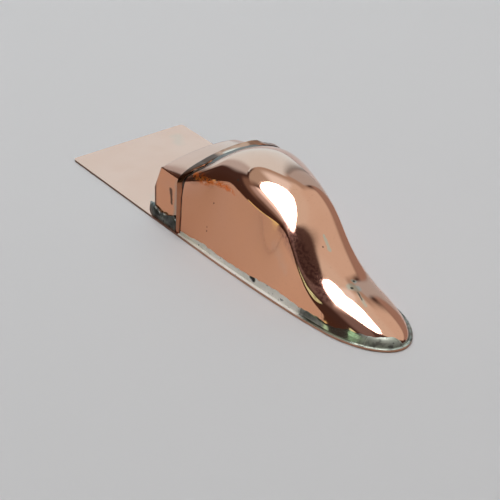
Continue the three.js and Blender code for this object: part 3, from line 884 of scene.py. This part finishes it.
def solder_material(name, base, stain, stained, pitted, rough):
    """Smeared solder: clouds of a second colour and small black flux pits."""
    material, tree, shader, place = metal(name)
    colour = mix_colour(tree, clouds(tree, place, 420, 4, *stained), base, stain)
    colour = mix_colour(tree, clouds(tree, place, 1100, 2, *pitted), colour, PIT)
    tree.links.new(colour, shader.inputs["Base Color"])
    shader.inputs["Roughness"].default_value = rough
    bump(tree, place, shader, 600, 0.1, 0.0001)
    return material


def foot_material():
    """The long run: tinned copper along the wall, grey-green at the rear, a painted dark reflection before
    the toe, stained at the toe.
    """
    material, tree, shader = node_material("foot_solder")
    place = place_of(tree)
    toe = ramp(tree, place, "X", 95, 99.5)
    tip = ramp(tree, place, "X", 111.5, 114.5)
    colour = mix_colour(tree, ramp(tree, place, "X", 66, 54), RUN_TINNED, RUN_REAR)
    colour = mix_colour(tree, toe, colour, RUN_TOE)
    colour = mix_colour(tree, ramp(tree, place, "Y", 14, 17), colour, RUN_FAR)
    colour = painted(tree, colour, RUN_SMOKED, tip, clouds(tree, place, 700, 4, 0.48, 0.62, most=0.8))
    # Painted reflection: a dark band on the film low on the wall, just before the toe cap
    foot_dark_reflection = mark(tree, shaken(tree, place, 0.5, 900), 1.5, (97.0, 3.0, 1.4), (103.0, 3.6, 1.3), 0.5)
    colour = painted(tree, colour, RUN_PAINTED_DARK_REFLECTION, foot_dark_reflection, 0.92)
    colour = mix_colour(tree, clouds(tree, place, 420, 4, 0.4, 0.7, most=0.35), colour, RUN_CLOUD)
    pit = clouds(tree, place, 1100, 2, 0.66, 0.72, most=0.6)
    black = marks(tree, shaken(tree, place, 0.5, 1200), [
        (0.7, (78.6, 1.7, 2.0), (79.9, 1.6, 1.6)),
        (0.25, (52.9, 1.0, 1.8)),
        (0.25, (58.2, 0.9, 1.0)),
        (0.7, (118.6, 17.2, 1.6), (119.3, 15.6, 1.0)),
        (0.35, (118.9, 15.1, 0.8)),
        (0.3, (119, 13.1, 1.5)),
    ])
    colour = mix_colour(tree, maths(tree, "MAXIMUM", pit, black), colour, PIT)
    tree.links.new(colour, shader.inputs["Base Color"])
    gloss = maths(tree, "SUBTRACT", toe, maths(tree, "MULTIPLY", tip, 0.7))
    tree.links.new(remap(tree, gloss, 0, 1, 0.32, 0.98), shader.inputs["Metallic"])
    tree.links.new(remap(tree, gloss, 0, 1, 0.36, 0.1), shader.inputs["Roughness"])
    bump(tree, place, shader, 600, 0.08, 0.0001)
    return material


PLATE_COPPER = plate_material()
GREY_SOLDER = solder_material(
    "grey_solder",
    base=(0.22, 0.2, 0.17),
    stain=(0.09, 0.07, 0.055),
    stained=(0.4, 0.7),
    pitted=(0.62, 0.7),
    rough=0.34,
)
FRONT_SOLDER = solder_material(
    "front_solder",
    base=(0.135, 0.095, 0.075),
    stain=(0.045, 0.035, 0.028),
    stained=(0.35, 0.7),
    pitted=(0.66, 0.72),
    rough=0.28,
)
DARK_SOLDER = solder_material(
    "dark_solder",
    base=(0.21, 0.22, 0.2),
    stain=(0.07, 0.07, 0.065),
    stained=(0.35, 0.65),
    pitted=(0.6, 0.7),
    rough=0.45,
)


def dress(piece, material, replaced):
    piece.data.materials.append(material)
    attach(piece, "root")
    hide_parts(replaced)


dress(make_body(), body_material(), "body_shell")
dress(make_neck(), neck_material(), "neck_sleeve")
dress(make_collar(), collar_material(), "collar_band")
dress(make_foot_solder(), foot_material(), "body_foot_solder")
dress(make_front_solder(), FRONT_SOLDER, "collar_front_solder")
dress(make_rear_solder(), GREY_SOLDER, "collar_rear_solder")
dress(make_blob("neck_near_blob", NEAR_BLOB, 51), DARK_SOLDER, "neck_near_solder")
dress(make_blob("neck_far_blob", FAR_BLOB, 61), DARK_SOLDER, "neck_far_solder")

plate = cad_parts["base_plate"].data
plate.materials.clear()
plate.materials.append(PLATE_COPPER)

# Camera: the photograph's view, from above the toe end on the straight side
CAMERA_AT = Vector((0.2582, -0.19316, 0.18873))
CAMERA_HEADING = 53.58  # degrees from +Y towards -X
CAMERA_PITCH = 31.05  # degrees down
FOCAL_PIXELS = 1500
PHOTO_PIXELS = 500
SENSOR = 36.0

camera_data = bpy.data.cameras.new("camera")
camera_data.sensor_width = SENSOR
camera_data.lens = SENSOR * FOCAL_PIXELS / PHOTO_PIXELS
camera_data.clip_start = 0.01
camera = bpy.data.objects.new("camera", camera_data)
camera.location = CAMERA_AT
camera.rotation_euler = (math.radians(90 - CAMERA_PITCH), 0, math.radians(CAMERA_HEADING))
bpy.context.scene.collection.objects.link(camera)
bpy.context.scene.camera = camera

# Studio directions: to the right of the photograph and away into it, level with the table
HEADING = math.radians(CAMERA_HEADING)
RIGHT = Vector((math.cos(HEADING), math.sin(HEADING), 0))
AHEAD = Vector((-math.sin(HEADING), math.cos(HEADING), 0))
UP = Vector((0, 0, 1))


def studio_point(right, ahead, up):
    return RIGHT * right + AHEAD * ahead + UP * up


def panel(name, sheets, material):
    """One stage object of flat sheets, each given by its corners in studio directions."""
    points = [studio_point(*corner) for sheet in sheets for corner in sheet]
    faces = []
    for sheet in sheets:
        first = sum(len(face) for face in faces)
        faces.append(tuple(range(first, first + len(sheet))))
    mesh = bpy.data.meshes.new(name)
    mesh.from_pydata(points, [], faces)
    mesh.materials.append(material)
    piece = bpy.data.objects.new(name, mesh)
    bpy.context.scene.collection.objects.link(piece)


def matt(name, colour):
    material, _, shader = node_material(name)
    shader.inputs["Base Color"].default_value = (*colour, 1)
    shader.inputs["Roughness"].default_value = 0.9
    shader.inputs["Specular IOR Level"].default_value = 0.2
    return material


def glow(name, colour, strength, mottle=0.0):
    """A glowing card, with clouds of shade in it where it is mottled."""
    material, tree, emission = node_material(name, "ShaderNodeEmission")
    emission.inputs["Color"].default_value = (*colour, 1)
    emission.inputs["Strength"].default_value = strength
    if mottle:
        shade = clouds(tree, place_of(tree), 9, 3, 0.4, 0.55, strength * (1 - mottle), strength)
        tree.links.new(shade, emission.inputs["Strength"])
    return material


def between(tree, value, low, high, soft):
    """A mask that is 1 between low and high, with soft edges."""
    begun = remap(tree, value, low - soft / 2, low + soft / 2, shape="SMOOTHSTEP")
    ended = remap(tree, value, high - soft / 2, high + soft / 2, 1, 0, "SMOOTHSTEP")
    return maths(tree, "MULTIPLY", begun, ended)


# The room round the table, as soft patches of light painted over one another
ROOM_RADIUS = 2.8
ROOM_STEP = 10  # degrees from one edge of the room's sheets to the next
ROOM_DARK = (0.06, 0.038, 0.032)
# Of each patch: its bearings in degrees to the right of straight ahead, its elevations, its softness
# along and up, and the light's colour
ROOM_PATCHES = (
    (-179, 179, 58, 120, 1, 16, (0.09, 0.065, 0.058)),
    (-170, -102, 54, 120, 12, 16, (0.2, 0.17, 0.165)),
    (-104, -62, 36, 62, 14, 12, (0.2, 0.15, 0.12)),
    (-24, 80, 44, 62, 16, 10, (0.42, 0.38, 0.32)),
    (-70, 24, 54, 82, 26, 4, (0.44, 0.43, 0.37)),
    (-8, 34, 58, 82, 18, 9, (0.86, 0.98, 0.98)),
    (24, 82, 55, 82, 8, 6, (0.68, 0.69, 0.61)),
    (38, 82, 34, 60, 8, 9, (0.66, 0.63, 0.54)),
    (32, 76, -10, 35, 4, 9, (0.35, 0.28, 0.24)),
    (18, 33, -10, 47, 3, 4, (0.45, 0.52, 0.54)),
    (-41, 16.5, -10, 51, 5, 2, (0.72, 0.98, 1.07)),
    (-50, -28, 20, 49, 12, 2, (0.5, 0.6, 0.64)),
    (-106, -84, 49, 82, 9, 12, (0.48, 0.46, 0.44)),
    (-101, -84, 61, 84, 7, 8, (1.2, 1.25, 1.25)),
    (-112, -78, -10, 1.1, 2, 0.5, (0.5, 0.5, 0.5)),
    (-103, -94, 1.0, 5.5, 1.5, 0.8, (0.8, 0.9, 0.58)),
)


def room_material():
    """The patches, each at its bearings and elevations as seen from the mould."""
    material, tree, emission = node_material("room_light", "ShaderNodeEmission")
    place = place_of(tree)
    sideways, forward = (vectors(tree, "DOT_PRODUCT", place, way) for way in (RIGHT, AHEAD))
    bearing = maths(tree, "MULTIPLY", maths(tree, "ARCTAN2", sideways, forward), 180 / math.pi)
    rise = maths(tree, "DIVIDE", axis(tree, place, "Z"), vectors(tree, "LENGTH", place))
    rise = maths(tree, "MULTIPLY", maths(tree, "ARCSINE", rise), 180 / math.pi)
    colour = ROOM_DARK
    for left, right, low, high, soft, soft_rise, light in ROOM_PATCHES:
        across = between(tree, bearing, left, right, soft)
        upwards = between(tree, rise, low, high, soft_rise)
        colour = mix_colour(tree, maths(tree, "MULTIPLY", across, upwards), colour, light)
    tree.links.new(colour, emission.inputs["Color"])
    return material


def arc(bearing, reach, up):
    """A point at a bearing and a distance from the middle of the table."""
    turn = math.radians(bearing)
    return (reach * math.sin(turn), reach * math.cos(turn), up)


def room_sheets():
    """A dome of flat sheets over the table."""
    turns = [math.radians(rise) for rise in range(0, 91, ROOM_STEP)]
    rings = [(ROOM_RADIUS * math.cos(turn), ROOM_RADIUS * math.sin(turn)) for turn in turns]
    sheets = []
    for (reach, up), (next_reach, next_up) in zip(rings, rings[1:]):
        for left in range(0, 360, ROOM_STEP):
            right = left + ROOM_STEP
            corners = [arc(left, reach, up), arc(right, reach, up), arc(right, next_reach, next_up)]
            if next_reach > MM:
                corners.append(arc(left, next_reach, next_up))
            sheets.append(corners)
    return sheets


# A window low on the straight side: its bearings, its heights, and its panes between glazing bars
WINDOW_REACH = 1.7
WINDOW_BEARINGS = (-134, -121)
WINDOW_HEIGHTS = (0.39, 1.7)
WINDOW_COLUMNS = 2
WINDOW_ROWS = 4
WINDOW_BAR = 0.1  # share of a pane's place that the bars take
WINDOW_COLOUR = (0.72, 1.0, 0.62)
WINDOW_STRENGTH = 1.25
WINDOW_MOTTLE = 0.5


def window_panes():
    first, last = WINDOW_BEARINGS
    low, high = WINDOW_HEIGHTS
    wide, tall = (last - first) / WINDOW_COLUMNS, (high - low) / WINDOW_ROWS
    sheets = []
    for column in range(WINDOW_COLUMNS):
        for row in range(WINDOW_ROWS):
            left, foot = first + column * wide, low + row * tall
            right, top = left + wide * (1 - WINDOW_BAR), foot + tall * (1 - WINDOW_BAR)
            corners = ((left, foot), (right, foot), (right, top), (left, top))
            sheets.append([arc(bearing, WINDOW_REACH, up) for bearing, up in corners])
    return sheets


# The table's far part on the straight side, as bright as the part near the lamp
FAR_TABLE_BEARINGS = (-130, -60)
FAR_TABLE_NEAR = 0.4
FAR_TABLE_COLOUR = (0.5, 0.5, 0.505)


def far_table_sheets():
    sheets = []
    for left in range(*FAR_TABLE_BEARINGS, ROOM_STEP):
        right = left + ROOM_STEP
        corners = ((left, FAR_TABLE_NEAR), (right, FAR_TABLE_NEAR), (right, ROOM_RADIUS), (left, ROOM_RADIUS))
        sheets.append([arc(bearing, reach, MM) for bearing, reach in corners])
    return sheets


FLOOR_COLOUR = (0.66, 0.65, 0.668)
FLOOR_HALF = 3.0
FLOOR = [(x * FLOOR_HALF, y * FLOOR_HALF, 0) for x, y in ((-1, -1), (1, -1), (1, 1), (-1, 1))]
panel("floor", [FLOOR], matt("floor_card", FLOOR_COLOUR))
panel("room", room_sheets(), room_material())
panel("far_table", far_table_sheets(), glow("far_table", FAR_TABLE_COLOUR, 1.0))
panel("window", window_panes(), glow("window_panes", WINDOW_COLOUR, WINDOW_STRENGTH, WINDOW_MOTTLE))

# The softbox: a lamp just below the middle of a rounded card that glows as brightly
SOFTBOX_UP = 1.0
SOFTBOX_RADIANCE = 6.6
LAMP_SIZE = (0.42, 0.22)
LAMP_AT = (-0.03, 0.12)
CARD_GAP = 0.004
SOFTBOX_CARD = (
    (-0.40, -0.05),
    (-0.22, -0.07),
    (0.0, -0.07),
    (0.13, -0.05),
    (0.22, 0.01),
    (0.25, 0.12),
    (0.2, 0.25),
    (0.12, 0.32),
    (0.03, 0.34),
    (-0.08, 0.31),
    (-0.2, 0.24),
    (-0.33, 0.15),
    (-0.40, 0.06),
)
card = [(right, ahead, SOFTBOX_UP + CARD_GAP) for right, ahead in SOFTBOX_CARD]
panel("softbox_card", [card], glow("softbox_card", (1.0, 1.0, 1.0), SOFTBOX_RADIANCE))
softbox_data = bpy.data.lights.new("softbox", "AREA")
softbox_data.shape = "RECTANGLE"
softbox_data.size, softbox_data.size_y = LAMP_SIZE
softbox_data.energy = SOFTBOX_RADIANCE * math.pi * LAMP_SIZE[0] * LAMP_SIZE[1]
softbox = bpy.data.objects.new("softbox", softbox_data)
softbox.location = studio_point(*LAMP_AT, SOFTBOX_UP)
softbox.rotation_euler = (0, 0, HEADING)
bpy.context.scene.collection.objects.link(softbox)

WORLD_COLOUR = (0.06, 0.035, 0.03)
world = bpy.data.worlds.new("room")
world.use_nodes = True
background = world.node_tree.nodes["Background"]
background.inputs["Color"].default_value = (*WORLD_COLOUR, 1)
background.inputs["Strength"].default_value = 1
bpy.context.scene.world = world
bpy.context.scene.view_settings.view_transform = "Standard"

bpy.context.view_layer.update()
